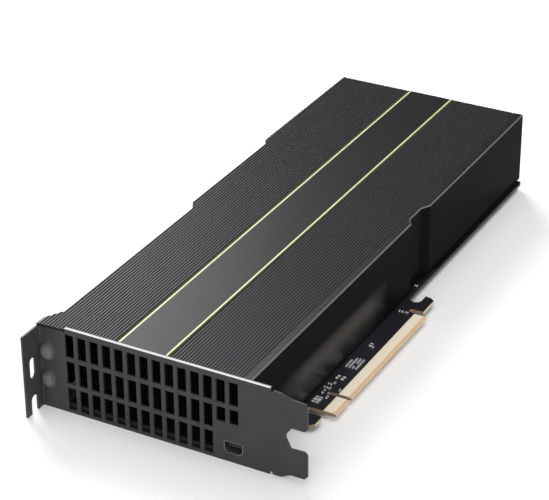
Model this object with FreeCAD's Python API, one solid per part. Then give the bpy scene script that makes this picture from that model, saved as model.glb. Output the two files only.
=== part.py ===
import FreeCAD, Part
import math
import os

# A dual-slot, full-height, passive accelerator card lying on its back.
# Everything is drawn from the card's own datums, in millimetres:
#   X from the outer face of the mounting tab towards the edge connector,
#   Y from the outer face of the bracket towards the tail,
#   Z from the bracket's lower edge up to the shroud's top.
# At the end each piece is moved so that the origin is the bottom centre of the card's box.

# Overall sizes
BRACKET_LENGTH = 120.02
FACE_HEIGHT = 38.74
TAB_DEPTH = 11.43
CARD_END = 267.7
SHEET = 0.86
SLOT_PITCH = 20.32

# Circuit board
BOARD_THICK = 1.57
BOARD_BOTTOM = 2.30
BOARD_TOP = BOARD_BOTTOM + BOARD_THICK
BOARD_LEFT = 1.4
BOARD_FRONT = SHEET + 0.4
BOARD_EDGE = 97.2
BOARD_END = CARD_END - 1.7
TONGUE_START = 43.15
TONGUE_SHORT = 11.65
TONGUE_KEY = 1.90
TONGUE_LONG = 71.65
TONGUE_TIP = 110.3
TONGUE_END = TONGUE_START + TONGUE_SHORT + TONGUE_KEY + TONGUE_LONG
KEY_DEPTH = 9.3
HOOK_REACH = 10.1
HOOK_WIDTH = 4.7
BEVEL_LENGTH = 1.4
BEVEL_DEPTH = 0.45

# Edge contacts
PAD_WIDTH = 0.70
PAD_PITCH = 1.00
PAD_START = 104.8
PAD_THICK = 0.04
PAD_TIP = TONGUE_TIP - BEVEL_LENGTH - 0.02
PAD_TIP_SHORT = PAD_TIP - 1.0
FIRST_PAD = 1.13
SHORT_COUNT = 11
LONG_COUNT = 71

# Shroud
SHROUD_TOP = FACE_HEIGHT - 0.44
SHROUD_WALL = 1.2
SHROUD_FRONT = 1.95
SHROUD_RIGHT = 95.4
SHROUD_LEFT = 5.0
SHROUD_FOOT = BOARD_TOP + 0.6
LIP_THICK = 1.0
LIP_LEFT = 0.2
LIP_FRONT = -0.6
RIB_PITCH = 1.37
RIB_DEPTH = 0.28
STRIP_LEFT = 36.75
STRIP_RIGHT = 58.1
STRIP_WIDTH = 1.0
STRIP_DEPTH = 0.5
TOP_BEVEL = 0.45
RECESS_START = 142.8
RECESS_END = 162.4
RECESS_DEPTH = 2.4
RECESS_RAMPS = (3.8, 4.3)
WAIST_LEFT = 2.2
TAIL_LEFT = 0.3
WAIST_START = 112.0
WAIST_END = 183.0

# Bracket
HEM_DEPTH = 1.75
HEM_START = 12.8
HEM_END = 104.2
VENT_COLUMNS = 14
VENT_LEFT = 12.85
VENT_PITCH = 5.67
VENT_WIDTH = 3.95
VENT_EDGE = 2.49
VENT_BARS = (1.95, 1.90)
VENT_FOOT = 1.35
VENT_HEIGHT = (FACE_HEIGHT - VENT_EDGE - sum(VENT_BARS) - VENT_FOOT) / 3
VENT_TOP_ROW = FACE_HEIGHT - VENT_EDGE
VENT_MIDDLE_ROW = VENT_TOP_ROW - VENT_HEIGHT - VENT_BARS[0]
VENT_BOTTOM_ROW = VENT_FOOT + VENT_HEIGHT
VENT_TOPS = (VENT_TOP_ROW, VENT_MIDDLE_ROW, VENT_BOTTOM_ROW)
SHORT_VENT_BOTTOM = VENT_MIDDLE_ROW - 6.55
FULL_LAST_COLUMN = 12
PORT_LEFT = 83.9
PORT_WIDTH = 8.4
PORT_HEIGHT = 5.4
PORT_CUT = 1.3
PORT_CLEARANCE = 0.10
TAB_SLOT_Y = -5.95
TAB_SLOT_WIDTH = 3.6
TAB_NOTCH_WIDTH = 4.42
TAB_NOTCH_Z = 3.05
TAB_NOTCH_END = 7.9
TAB_TOP = FACE_HEIGHT - 1.54
LUG_DEPTH = 9.0
LUGS = ((6.6, 12.4), (92.75, 96.9))
LUG_CLEARANCE = 0.35
LUG_SCREW_Y = LUG_DEPTH - 3.6
DART_HEIGHTS = (26.0, 13.2)
DART_X = 4.4
DART_R = 4.7
DART_SINK = 2.4
DART_TALL = 4.8
DART_SKIN = 0.75
PRONG_BOTTOM = 2.3
PRONG_WIDTH = 12.2
PRONG_PITCH = SLOT_PITCH + 1.0
NOTCH_FLAT = 1.32
NOTCH_SLOPE = (PRONG_PITCH - PRONG_WIDTH - NOTCH_FLAT) / 13

# Heat path
CHAMBER_BOTTOM = 8.0
CHAMBER_TOP = 11.0
FIN_LEFT = 12.6
FIN_PITCH = 1.6
FIN_THICK = 0.4
FIN_TOP = SHROUD_TOP - SHROUD_WALL - 0.5
FIN_FRONT = 8.0
FIN_BACK = 262.0
FOIL_THICK = 0.5
FRONT_FIN_BOTTOM = 5.6
CHAMBER_FRONT = 36.0
CHAMBER_BACK = 252.0
PACKAGE_X = 50.2
PACKAGE_Y = 152.0
PACKAGE_HALF = 27.5

# Parts on the board
SUBSTRATE_TOP = BOARD_TOP + 1.5
DIE_TOP = SUBSTRATE_TOP + 0.8
STAGE_TOP = BOARD_TOP + 0.9
COIL_TOP = BOARD_TOP + 3.5
PAD_SOFT = 0.6
STAGE_ROWS = (98.0, 206.0)
COIL_ROWS = (88.0, 216.0)
BULK_ROWS = (79.5, 224.5)
STAGE_COUNT = 8
STAGE_START = 18.0
STAGE_PITCH = 9.0
INLET_X0 = 13.0
INLET_Y = 243.0
INLET_PITCH = 4.2
FIN_NOTCH_TOP = 30.0
INLET_X1 = INLET_X0 + 3 * INLET_PITCH + 7.8
CHIP_HEIGHT = 0.45
# Each small chip: X from the board's edge, Y from the tongue's start, then its two sides
EDGE_CHIPS = (
    (4.4, 9.15, 0.7, 1.8), (1.2, 12.25, 0.6, 2.6), (0.7, 15.45, 1.6, 0.8), (2.5, 15.45, 0.6, 1.4),
    (1, 18.45, 1.5, 0.8), (2.4, 20.05, 0.6, 1.2), (6.6, 16.15, 0.5, 1.2), (2.6, 23.75, 3.4, 0.7),
    (2.8, 25.45, 3.4, 0.7), (2.4, 53.25, 1.1, 2.2), (3.8, 52.05, 0.6, 1), (1.6, 84.15, 2, 0.9),
    (4.2, 84.15, 1.3, 0.9), (-2, 107.25, 1.3, 1),
)
STAGE_LAST = STAGE_START + (STAGE_COUNT - 1) * STAGE_PITCH

# Tail bar
TAIL_HOLES = (6.6, 90.0)
TAIL_HOLE_R = 1.25
TAIL_BAR_HEIGHT = 6.0
TAIL_BAR_DEPTH = 3.4

# Screws
POST_LEFT = 9.6
POST_RIGHT = 90.6
POST_ROWS = (22.0, 100.0, 176.0, 250.0)
POSTS = [(x, y) for x in (POST_LEFT, POST_RIGHT) for y in POST_ROWS]
POST_R = 2.6
SCREW_R = 1.0
SCREW_HEAD_R = 2.1
SCREW_HEAD_H = 0.8
SCREW_CLEARANCE = 0.15
CLAMP_SCREW_R = 1.25
FIN_SPACE = POST_RIGHT - POST_R - 1.0 - FIN_THICK - FIN_LEFT
FIN_COUNT = int(FIN_SPACE / FIN_PITCH) + 1
PLATE_BOTTOM = 0.2
PLATE_TOP = 1.9
PLATE_GROOVES = (22.0, 76.0)
PLATE_GROOVE_ENDS = ((20.0, 104.0), (200.0, 252.0))
COOLER_REACH = 33.0
COOLER_HOLES = [(sx * COOLER_REACH, sy * COOLER_REACH) for sy in (-1, 1) for sx in (-1, 1)]
COOLER_HOLE_R = 1.6
CLAMP_REACH = COOLER_REACH + 4.0
CLAMP_THICK = 1.1
CLAMP_ARM = 4.2
CLAMP_RING = 21.0
CLAMP_WINDOW = 13.0


def box(x0, y0, z0, x1, y1, z1):
    """A box between two corners."""
    return Part.makeBox(x1 - x0, y1 - y0, z1 - z0, FreeCAD.Vector(x0, y0, z0))


def rod(x, y, z0, z1, r):
    """An upright cylinder."""
    return Part.makeCylinder(r, z1 - z0, FreeCAD.Vector(x, y, z0))


def bar(x, y, z0, z1, r):
    """An upright twelve-sided bar for what repeats, such as the screws and their holes."""
    corners = [(x + r * math.cos(k * math.pi / 6), y + r * math.sin(k * math.pi / 6)) for k in range(12)]
    return plate(corners, z0, z1)


def plate(points, z0, z1):
    """A flat plate from an outline in X and Y."""
    rim = [FreeCAD.Vector(x, y, z0) for x, y in points]
    rim.append(rim[0])
    face = Part.Face(Part.makePolygon(rim))
    return face.extrude(FreeCAD.Vector(0, 0, z1 - z0))


def front_plate(points, y0, y1):
    """A plate that stands parallel to the bracket's face, from an outline in X and Z."""
    rim = [FreeCAD.Vector(x, y0, z) for x, z in points]
    rim.append(rim[0])
    face = Part.Face(Part.makePolygon(rim))
    return face.extrude(FreeCAD.Vector(0, y1 - y0, 0))


def keep(name, shape):
    """Moves a finished piece to the card's frame and writes its file."""
    shape = shape.copy()
    shape.translate(FreeCAD.Vector(-BRACKET_LENGTH / 2, -(CARD_END - TAB_DEPTH) / 2, 0))
    shape.exportStep("parts/" + name + ".step")


def upright_edges(shape, points, tolerance=0.05):
    """Finds the vertical edges that stand on the given X, Y points."""
    found = []
    for edge in shape.Edges:
        a = edge.Vertexes[0].Point
        b = edge.Vertexes[-1].Point
        if abs(a.x - b.x) > tolerance or abs(a.y - b.y) > tolerance:
            continue
        for x, y in points:
            if abs(a.x - x) < tolerance and abs(a.y - y) < tolerance:
                found.append(edge)
                break
    return found


# --- Bracket -------------------------------------------------------------------------

def slot_hole(y, z0, z1, width, x0, x1):
    """A cutter along X for a slot with round ends that runs up the tab."""
    r = width / 2
    body = box(x0, y - r, z0 + r, x1, y + r, z1 - r)
    for z in (z0 + r, z1 - r):
        end = Part.makeCylinder(r, x1 - x0, FreeCAD.Vector(x0, y, z), FreeCAD.Vector(1, 0, 0))
        body = body.fuse(end)
    return body


def dart(z, skin, x_limit, y_limit):
    """A stubby barrel sunk in the bend's corner, on the side of the sheet that the limits name."""
    x = DART_X
    profile = [(DART_SINK, DART_TALL), (DART_R - 1.7, DART_TALL - 0.9), (DART_R - 0.5, DART_TALL - 2.5),
               (DART_R, DART_TALL - 4.1)]
    points = [FreeCAD.Vector(x, DART_SINK, z - DART_TALL)]
    for r, up in profile:
        points.append(FreeCAD.Vector(x + r - skin, DART_SINK, z - up))
    for r, up in reversed(profile):
        points.append(FreeCAD.Vector(x + r - skin, DART_SINK, z + up))
    points.append(FreeCAD.Vector(x, DART_SINK, z + DART_TALL))
    points.append(points[0])
    turned = Part.Face(Part.makePolygon(points))
    barrel = turned.revolve(FreeCAD.Vector(x, DART_SINK, 0), FreeCAD.Vector(0, 0, 1), 360)
    return barrel.common(box(x_limit, -TAB_DEPTH, z - 10, 20, y_limit, z + 10))


def make_bracket():
    right = BRACKET_LENGTH
    low = PRONG_BOTTOM
    high = low + PRONG_PITCH
    relief = HEM_END + 0.5
    outline = [
        (SHEET, 0.0), (relief - 0.9, 0.0), (relief - 0.7, 1.4), (relief + 0.1, 1.4),
        (relief + 0.6, 0.4), (right - 11.2, 0.4), (right - 7.1, low), (right - 1.3, low),
        (right, low + 1.3), (right, low + PRONG_WIDTH - 1.2), (right - 1.3, low + PRONG_WIDTH),
        (right - 7.1, low + PRONG_WIDTH - 0.2), (right - 9.2, low + PRONG_WIDTH + 7 * NOTCH_SLOPE),
        (right - 9.2, high - 6 * NOTCH_SLOPE), (right - 6.9, high), (right - 1.3, high), (right, high + 1.2),
        (right, high + PRONG_WIDTH - 1.0), (right - 0.9, high + PRONG_WIDTH),
        (right - 6.5, high + PRONG_WIDTH + 0.4), (right - 10.9, high + PRONG_WIDTH + 1.8),
        (right - 14.4, high + PRONG_WIDTH + 2.1), (relief + 0.4, high + PRONG_WIDTH + 0.9),
        (HEM_END, high + PRONG_WIDTH + 0.9), (HEM_END, FACE_HEIGHT), (HEM_START, FACE_HEIGHT),
        (HEM_START, TAB_TOP), (SHEET, TAB_TOP),
    ]
    face = front_plate(outline, 0, SHEET)

    # Hem folded back over the front of the shroud
    hem = box(HEM_START, 0, FACE_HEIGHT - SHEET, HEM_END, HEM_DEPTH, FACE_HEIGHT)

    # Mounting tab, with the open notch and the closed slot for the two slot screws
    tab = box(0, -TAB_DEPTH, 0, SHEET, SHEET, TAB_TOP)
    body = face.fuse([hem, tab])
    bend = [e for e in upright_edges(body, [(0, SHEET)])]
    body = body.makeFillet(SHEET * 0.9, bend)
    inner = [e for e in upright_edges(body, [(SHEET, 0)])]
    body = body.makeFillet(0.6, inner)
    body = body.makeChamfer(0.6, [e for e in body.Edges if is_tab_corner(e)])

    # Darts pressed across the bend, hollow from behind
    half_sheet = SHEET / 2
    body = body.fuse([dart(z, 0, half_sheet, half_sheet) for z in DART_HEIGHTS])
    cuts = [dart(z, DART_SKIN, SHEET + 0.3, SHEET + 1) for z in DART_HEIGHTS]
    half = TAB_SLOT_WIDTH / 2
    cuts.append(slot_hole(TAB_SLOT_Y, -6, TAB_NOTCH_END, TAB_NOTCH_WIDTH, -1, SHEET + 1))
    middle = TAB_NOTCH_Z + SLOT_PITCH - 2.9
    cuts.append(slot_hole(TAB_SLOT_Y, middle - 2.9 - half, middle + 2.9 + half,
                          TAB_SLOT_WIDTH, -1, SHEET + 1))

    # Vent grid
    for row, top in enumerate(VENT_TOPS):
        for column in range(VENT_COLUMNS):
            bottom = top - VENT_HEIGHT
            if column >= FULL_LAST_COLUMN:
                if row == 2:
                    continue
                if row == 1:
                    bottom = SHORT_VENT_BOTTOM
            x = VENT_LEFT + column * VENT_PITCH
            cuts.append(box(x, -1, bottom, x + VENT_WIDTH, SHEET + 1, top))

    # Window for the service socket
    cuts.append(socket_prism(PORT_CLEARANCE, -1, SHEET + 1))
    body = body.cut(cuts)

    # Lugs folded in over the board, each with a hole for a screw from below
    for x0, x1 in LUGS:
        lug = box(x0, 0.2, BOARD_TOP, x1, LUG_DEPTH, BOARD_TOP + SHEET)
        body = body.fuse(lug)
        body = body.cut(bar((x0 + x1) / 2, LUG_SCREW_Y, BOARD_TOP - 1, BOARD_TOP + 2, SCREW_R))
    return body.removeSplitter()


def is_tab_corner(edge):
    """True for the short edges across the sheet at the tab's free corners."""
    a = edge.Vertexes[0].Point
    b = edge.Vertexes[-1].Point
    if abs(a.y + TAB_DEPTH) > 0.01 or abs(b.y + TAB_DEPTH) > 0.01 or a.z < 1:
        return False
    return abs(a.x - b.x) > SHEET * 0.9


def socket_outline(grow):
    """Outline of the service socket: a rectangle with its two lower corners cut."""
    x0 = PORT_LEFT - grow
    x1 = PORT_LEFT + PORT_WIDTH + grow
    z0 = BOARD_TOP - grow
    z1 = BOARD_TOP + PORT_HEIGHT + grow
    return [(x0 + PORT_CUT, z0), (x1 - PORT_CUT, z0), (x1, z0 + PORT_CUT), (x1, z1),
            (x0, z1), (x0, z0 + PORT_CUT)]


def socket_prism(grow, y0, y1):
    return front_plate(socket_outline(grow), y0, y1)


# --- Shroud --------------------------------------------------------------------------

def shroud_outline(inset):
    """Plan of the shroud's wall, moved in from the outer faces by an inset."""
    far = CARD_END
    recess = SHROUD_RIGHT - RECESS_DEPTH
    return [
        (SHROUD_LEFT + inset, SHROUD_FRONT), (SHROUD_RIGHT - inset, SHROUD_FRONT),
        (SHROUD_RIGHT - inset, RECESS_START), (recess - inset, RECESS_START + RECESS_RAMPS[0]),
        (recess - inset, RECESS_END - RECESS_RAMPS[1]), (SHROUD_RIGHT - inset, RECESS_END),
        (SHROUD_RIGHT - inset, far),
        (TAIL_LEFT + inset, far), (TAIL_LEFT + inset, WAIST_END + 3.7), (WAIST_LEFT + inset, WAIST_END),
        (WAIST_LEFT + inset, WAIST_START + 5.0), (SHROUD_LEFT + inset, WAIST_START),
    ]


def make_shroud():
    outer = plate(shroud_outline(0), SHROUD_FOOT, SHROUD_TOP)
    inner = shroud_outline(SHROUD_WALL)
    inner[0] = (inner[0][0], SHROUD_FRONT - 1)
    inner[1] = (inner[1][0], SHROUD_FRONT - 1)
    inner = [(x, y + 5 if y == CARD_END else y) for x, y in inner]
    hollow = plate(inner, SHROUD_FOOT - 1, SHROUD_TOP - SHROUD_WALL)
    body = outer.cut(hollow)

    # Front lip that reaches out over the tab side of the bracket
    lip = plate([(LIP_LEFT, LIP_FRONT), (HEM_START - 0.45, 0.1), (HEM_START - 0.45, SHROUD_FRONT + 1),
                 (SHROUD_LEFT + 2, 13.5), (SHROUD_LEFT, 12.4), (2.6, 8.4), (LIP_LEFT + 0.3, 4.2)],
                SHROUD_TOP - LIP_THICK, SHROUD_TOP)
    body = body.fuse(lip)

    # Screw posts that stand on the board
    for x, y in POSTS:
        post = bar(x, y, BOARD_TOP, SHROUD_TOP - SHROUD_WALL, POST_R)
        web = box(min(x, wall_x(x, y)), y - 0.7, SHROUD_FOOT,
                  max(x, wall_x(x, y)), y + 0.7, SHROUD_TOP - SHROUD_WALL)
        body = body.fuse([post, web])
        body = body.cut(bar(x, y, BOARD_TOP - 1, BOARD_TOP + 7, SCREW_R))

    # Clearance round the bracket's lugs
    for x0, x1 in LUGS:
        body = body.cut(box(x0 - LUG_CLEARANCE, 0, BOARD_TOP - 1, x1 + LUG_CLEARANCE,
                            LUG_DEPTH + LUG_CLEARANCE, BOARD_TOP + SHEET + LUG_CLEARANCE))

    # Ribs along both sides of the smooth centre band
    half = STRIP_WIDTH / 2
    grooves = []
    x = STRIP_LEFT - 1.9
    while x > 0.9:
        grooves.append(rib_groove(x))
        x -= RIB_PITCH
    x = STRIP_RIGHT + 1.9
    while x < SHROUD_RIGHT - RECESS_DEPTH - TOP_BEVEL - 0.6:
        grooves.append(rib_groove(x))
        x += RIB_PITCH

    # Channels for the two accent strips
    for x in (STRIP_LEFT, STRIP_RIGHT):
        grooves.append(box(x - half, -1, SHROUD_TOP - STRIP_DEPTH, x + half, CARD_END + 1,
                           SHROUD_TOP + 1))
    body = body.cut(grooves)

    # Bevel along the upper right edge, round the recess too
    rim = [e for e in body.Edges if is_right_rim(e)]
    body = body.makeChamfer(TOP_BEVEL, rim)
    return body.removeSplitter()


def wall_x(x, y):
    """Inner face of the side wall next to a post."""
    if x > PACKAGE_X:
        return SHROUD_RIGHT - SHROUD_WALL / 2
    if y < WAIST_START:
        return SHROUD_LEFT + SHROUD_WALL / 2
    if y < WAIST_END:
        return WAIST_LEFT + SHROUD_WALL / 2
    return TAIL_LEFT + SHROUD_WALL / 2


def rib_groove(x):
    """A shallow V cutter along the card between two ribs."""
    half = RIB_PITCH * 0.36
    points = [(x - half, SHROUD_TOP + 0.01), (x, SHROUD_TOP - RIB_DEPTH), (x + half, SHROUD_TOP + 0.01)]
    return front_plate(points, -1, CARD_END + 1)


def is_right_rim(edge):
    """True for the edges of the top that follow the right wall and its recess."""
    for vertex in edge.Vertexes:
        if abs(vertex.Point.z - SHROUD_TOP) > 0.01 or vertex.Point.x < SHROUD_RIGHT - RECESS_DEPTH - 0.1:
            return False
    a = edge.Vertexes[0].Point
    b = edge.Vertexes[-1].Point
    return abs(a.y - b.y) > 0.5


def make_strip(x):
    half = STRIP_WIDTH / 2
    return box(x - half, SHROUD_FRONT, SHROUD_TOP - STRIP_DEPTH, x + half, CARD_END, SHROUD_TOP + 0.05)


# --- Circuit board -------------------------------------------------------------------

def make_board():
    key0 = TONGUE_START + TONGUE_SHORT
    key1 = key0 + TONGUE_KEY
    tip = TONGUE_TIP
    edge = BOARD_EDGE
    hook = edge + HOOK_REACH
    tooth = TONGUE_START - 11.55
    arm = hook - HOOK_WIDTH
    outline = [
        (BOARD_LEFT, BOARD_FRONT), (edge, BOARD_FRONT), (edge, tooth), (edge + 7.4, tooth),
        (edge + 9.0, tooth + 1.6), (edge + 9.0, tooth + 6.7), (edge + 8.0, tooth + 7.7),
        (edge + 1.2, tooth + 7.7), (edge, tooth + 8.8), (edge, TONGUE_START - 1.15),
        (edge + 1.2, TONGUE_START), (tip, TONGUE_START), (tip, key0), (tip - KEY_DEPTH, key0),
        (tip - KEY_DEPTH, key1), (tip, key1), (tip, TONGUE_END), (tip - 5.9, TONGUE_END),
        (edge + 4.4, TONGUE_END + 1.2), (edge + 4.0, TONGUE_END + 2.0), (edge + 5.2, TONGUE_END + 3.1),
        (hook, TONGUE_END + 3.3), (hook, TONGUE_END + 13.9), (hook - 1.7, TONGUE_END + 15.3),
        (arm, TONGUE_END + 16.0), (arm, TONGUE_END + 11.0), (arm - 1.0, TONGUE_END + 9.5),
        (arm - 2.8, TONGUE_END + 9.0), (edge + 1.0, TONGUE_END + 9.5), (edge, TONGUE_END + 11.1),
        (edge, BOARD_END - 1.0), (edge - 1.0, BOARD_END), (BOARD_LEFT + 1.0, BOARD_END),
        (BOARD_LEFT, BOARD_END - 1.0),
    ]
    body = plate(outline, BOARD_BOTTOM, BOARD_TOP)

    # Round inner end of the key notch
    body = body.cut(rod(tip - KEY_DEPTH, (key0 + key1) / 2, 0, 6, TONGUE_KEY / 2))

    # Both faces bevelled at the tip
    for z, sign in ((BOARD_TOP, 1), (BOARD_BOTTOM, -1)):
        points = [(tip - BEVEL_LENGTH, z), (tip + 1, z - sign * BEVEL_DEPTH * (1 + 1 / BEVEL_LENGTH)),
                  (tip + 1, z + sign), (tip - BEVEL_LENGTH, z + sign)]
        body = body.cut(front_plate(points, TONGUE_START - 1, TONGUE_END + 1))

    holes = [bar(x, y, 0, 6, SCREW_R + SCREW_CLEARANCE) for x, y in POSTS]
    for dx, dy in COOLER_HOLES:
        holes.append(bar(PACKAGE_X + dx, PACKAGE_Y + dy, 0, 6, COOLER_HOLE_R))
    for x0, x1 in LUGS:
        holes.append(bar((x0 + x1) / 2, LUG_SCREW_Y, 0, 6, SCREW_R + SCREW_CLEARANCE))
    return body.cut(holes).removeSplitter()


def pad_places():
    """Y of each contact, counted from the bracket end, with its number."""
    places = []
    for k in range(SHORT_COUNT):
        places.append((k + 1, TONGUE_START + FIRST_PAD + k * PAD_PITCH))
    start = TONGUE_START + FIRST_PAD + (SHORT_COUNT - 1) * PAD_PITCH + 3.0
    for k in range(LONG_COUNT):
        places.append((SHORT_COUNT + k + 1, start + k * PAD_PITCH))
    return places


def make_pads(z0, short_pins):
    pads = []
    for number, y in pad_places():
        end = PAD_TIP_SHORT if number in short_pins else PAD_TIP
        pads.append(box(PAD_START, y - PAD_WIDTH / 2, z0, end, y + PAD_WIDTH / 2, z0 + PAD_THICK))
    return Part.makeCompound(pads)


# --- Underside -----------------------------------------------------------------------

def plate_outline(inset):
    left = BOARD_LEFT + inset
    right = BOARD_EDGE - inset
    return [(left, 10.5), (left + 3, 3.0), (BOARD_EDGE - 17.2, 3.0), (BOARD_EDGE - 14.2, 6.0),
            (right - 3, 6.0), (right, 9.0),
            (right, BOARD_END - 2 - inset), (right - 2, BOARD_END - inset),
            (left + 2, BOARD_END - inset), (left, BOARD_END - 2 - inset)]


def make_backplate():
    body = plate(plate_outline(1.8), PLATE_BOTTOM, PLATE_TOP)
    cuts = []
    for x, y in POSTS:
        cuts.append(bar(x, y, -1, PLATE_BOTTOM + SCREW_HEAD_H + 0.1, SCREW_HEAD_R + SCREW_CLEARANCE))
        cuts.append(bar(x, y, -1, 3, SCREW_R + SCREW_CLEARANCE))
    # Window for the clamp frame behind the processor
    half = CLAMP_REACH + 3.5
    cuts.append(box(PACKAGE_X - half, PACKAGE_Y - half, -1, PACKAGE_X + half, PACKAGE_Y + half, 3))
    for x0, x1 in LUGS:
        cuts.append(bar((x0 + x1) / 2, LUG_SCREW_Y, -1, 3, SCREW_HEAD_R + 0.5))
    # Shallow grooves pressed along the plate
    for x in PLATE_GROOVES:
        for y0, y1 in PLATE_GROOVE_ENDS:
            cuts.append(box(x - 1.5, y0, PLATE_BOTTOM - 1, x + 1.5, y1, PLATE_BOTTOM + 0.4))
    return body.cut(cuts).removeSplitter()


def make_film():
    body = plate(plate_outline(2.6), PLATE_TOP, BOARD_BOTTOM)
    cuts = [bar(x, y, 0, 4, 2.0) for x, y in POSTS]
    half = CLAMP_REACH + 0.5
    cuts.append(box(PACKAGE_X - half, PACKAGE_Y - half, 0, PACKAGE_X + half, PACKAGE_Y + half, 4))
    for x0, x1 in LUGS:
        cuts.append(bar((x0 + x1) / 2, LUG_SCREW_Y, 0, 4, SCREW_HEAD_R + 0.5))
    return body.cut(cuts).removeSplitter()


def make_clamp():
    """Sprung steel frame that pulls the cooler down on the processor."""
    frame = None
    z0 = BOARD_BOTTOM - CLAMP_THICK
    reach = CLAMP_REACH + 10
    for sign in (1, -1):
        arm = box(-reach, -CLAMP_ARM, z0, reach, CLAMP_ARM, BOARD_BOTTOM)
        arm.rotate(FreeCAD.Vector(0, 0, 0), FreeCAD.Vector(0, 0, 1), 45 * sign)
        frame = arm if frame is None else frame.fuse(arm)
    window = box(-CLAMP_WINDOW, -CLAMP_WINDOW, z0 - 1, CLAMP_WINDOW, CLAMP_WINDOW, BOARD_BOTTOM + 1)
    ring = box(-CLAMP_RING, -CLAMP_RING, z0, CLAMP_RING, CLAMP_RING, BOARD_BOTTOM)
    frame = frame.fuse(ring).cut(window)
    frame = frame.common(box(-CLAMP_REACH, -CLAMP_REACH, z0 - 1, CLAMP_REACH, CLAMP_REACH, z0 + 3))
    frame.translate(FreeCAD.Vector(PACKAGE_X, PACKAGE_Y, 0))
    holes = [bar(PACKAGE_X + dx, PACKAGE_Y + dy, 0, 4, CLAMP_SCREW_R + SCREW_CLEARANCE)
             for dx, dy in COOLER_HOLES]
    return frame.cut(holes).removeSplitter()


def screw(x, y, z0, length, head_r, head_h, shank_r):
    """A pan-head screw that goes up from its head."""
    head = bar(x, y, z0, z0 + head_h, head_r)
    shank = bar(x, y, z0 + head_h, z0 + length, shank_r)
    return head.fuse(shank).removeSplitter()


def make_plate_screws():
    z0 = PLATE_BOTTOM + 0.1
    return Part.makeCompound([screw(x, y, z0, 7.5, SCREW_HEAD_R, SCREW_HEAD_H, SCREW_R)
                              for x, y in POSTS])


def make_lug_screws():
    z0 = BOARD_BOTTOM - 1.3
    screws = [screw((x0 + x1) / 2, LUG_SCREW_Y, z0, 1.3 + BOARD_THICK + SHEET, SCREW_HEAD_R, 1.3, SCREW_R)
              for x0, x1 in LUGS]
    return Part.makeCompound(screws)


def make_clamp_screws():
    z0 = 0.2
    screws = [screw(PACKAGE_X + dx, PACKAGE_Y + dy, z0, CHAMBER_BOTTOM + 2 - z0, 2.3, 1.0, CLAMP_SCREW_R)
              for dx, dy in COOLER_HOLES]
    return Part.makeCompound(screws)


# --- Heat path -----------------------------------------------------------------------

def comb(y0, y1, z0, z1):
    """Upright fins clear of the service socket, between two heights."""
    fins = []
    for k in range(FIN_COUNT):
        x = FIN_LEFT + k * FIN_PITCH
        if x + FIN_THICK < PORT_LEFT - 0.5:
            fins.append(box(x, y0, z0, x + FIN_THICK, y1, z1))
    return fins


def make_fins():
    width = (FIN_COUNT - 1) * FIN_PITCH + FIN_THICK
    points = [(FIN_LEFT, CHAMBER_TOP), (FIN_LEFT + width, CHAMBER_TOP)]
    for k in reversed(range(FIN_COUNT)):
        x = FIN_LEFT + k * FIN_PITCH
        points += [(x + FIN_THICK, FIN_TOP), (x, FIN_TOP)]
        if k:
            points += [(x, CHAMBER_TOP + FOIL_THICK),
                       (x - FIN_PITCH + FIN_THICK, CHAMBER_TOP + FOIL_THICK)]
    body = front_plate(points, FIN_FRONT, FIN_BACK)
    low = comb(FIN_FRONT, CHAMBER_FRONT - 2, FRONT_FIN_BOTTOM, CHAMBER_TOP + 0.2)
    body = body.fuse(low)
    # Room for the power inlets at the tail
    body = body.cut(box(FIN_LEFT - 1, INLET_Y - 1.0, 0, INLET_X1 + 1.2, CARD_END + 1, FIN_NOTCH_TOP))
    return body.removeSplitter()


def make_chamber():
    width = (FIN_COUNT - 1) * FIN_PITCH + FIN_THICK
    body = box(FIN_LEFT, CHAMBER_FRONT, CHAMBER_BOTTOM, FIN_LEFT + width, INLET_Y - 1.0, CHAMBER_TOP)
    body = body.fuse(box(INLET_X1 + 1.2, INLET_Y - 1.0, CHAMBER_BOTTOM, FIN_LEFT + width, CHAMBER_BACK,
                         CHAMBER_TOP))
    pedestal = box(PACKAGE_X - 27, PACKAGE_Y - 22, DIE_TOP, PACKAGE_X + 27, PACKAGE_Y + 22, CHAMBER_BOTTOM)
    body = body.fuse(pedestal)
    for y in STAGE_ROWS:
        body = body.fuse(box(STAGE_START - 2, y - 3, STAGE_TOP + PAD_SOFT,
                             STAGE_LAST + 3, y + 3, CHAMBER_BOTTOM))
    holes = [bar(PACKAGE_X + dx, PACKAGE_Y + dy, CHAMBER_BOTTOM - 1, CHAMBER_BOTTOM + 2.2, CLAMP_SCREW_R)
             for dx, dy in COOLER_HOLES]
    return body.cut(holes).removeSplitter()


# --- Parts on the board --------------------------------------------------------------

def make_substrate():
    return box(PACKAGE_X - PACKAGE_HALF, PACKAGE_Y - PACKAGE_HALF, BOARD_TOP,
               PACKAGE_X + PACKAGE_HALF, PACKAGE_Y + PACKAGE_HALF, SUBSTRATE_TOP)


def make_stiffener():
    z1 = SUBSTRATE_TOP + 0.55
    ring = box(PACKAGE_X - 27.2, PACKAGE_Y - 27.2, SUBSTRATE_TOP, PACKAGE_X + 27.2, PACKAGE_Y + 27.2, z1)
    return ring.cut(box(PACKAGE_X - 24, PACKAGE_Y - 22.5, SUBSTRATE_TOP - 1, PACKAGE_X + 24,
                        PACKAGE_Y + 22.5, z1 + 1))


def make_die():
    return box(PACKAGE_X - 9.5, PACKAGE_Y - 17, SUBSTRATE_TOP, PACKAGE_X + 9.5, PACKAGE_Y + 17, DIE_TOP)


def make_memory():
    stacks = []
    for sx in (-1, 1):
        for sy in (-1, 1):
            x = PACKAGE_X + sx * 15.0
            y = PACKAGE_Y + sy * 7.4
            stacks.append(box(x - 4.9, y - 6.2, SUBSTRATE_TOP, x + 4.9, y + 6.2, DIE_TOP))
    return Part.makeCompound(stacks)


def stage_places(rows):
    return [(STAGE_START + k * STAGE_PITCH, y) for y in rows for k in range(STAGE_COUNT)]


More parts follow.
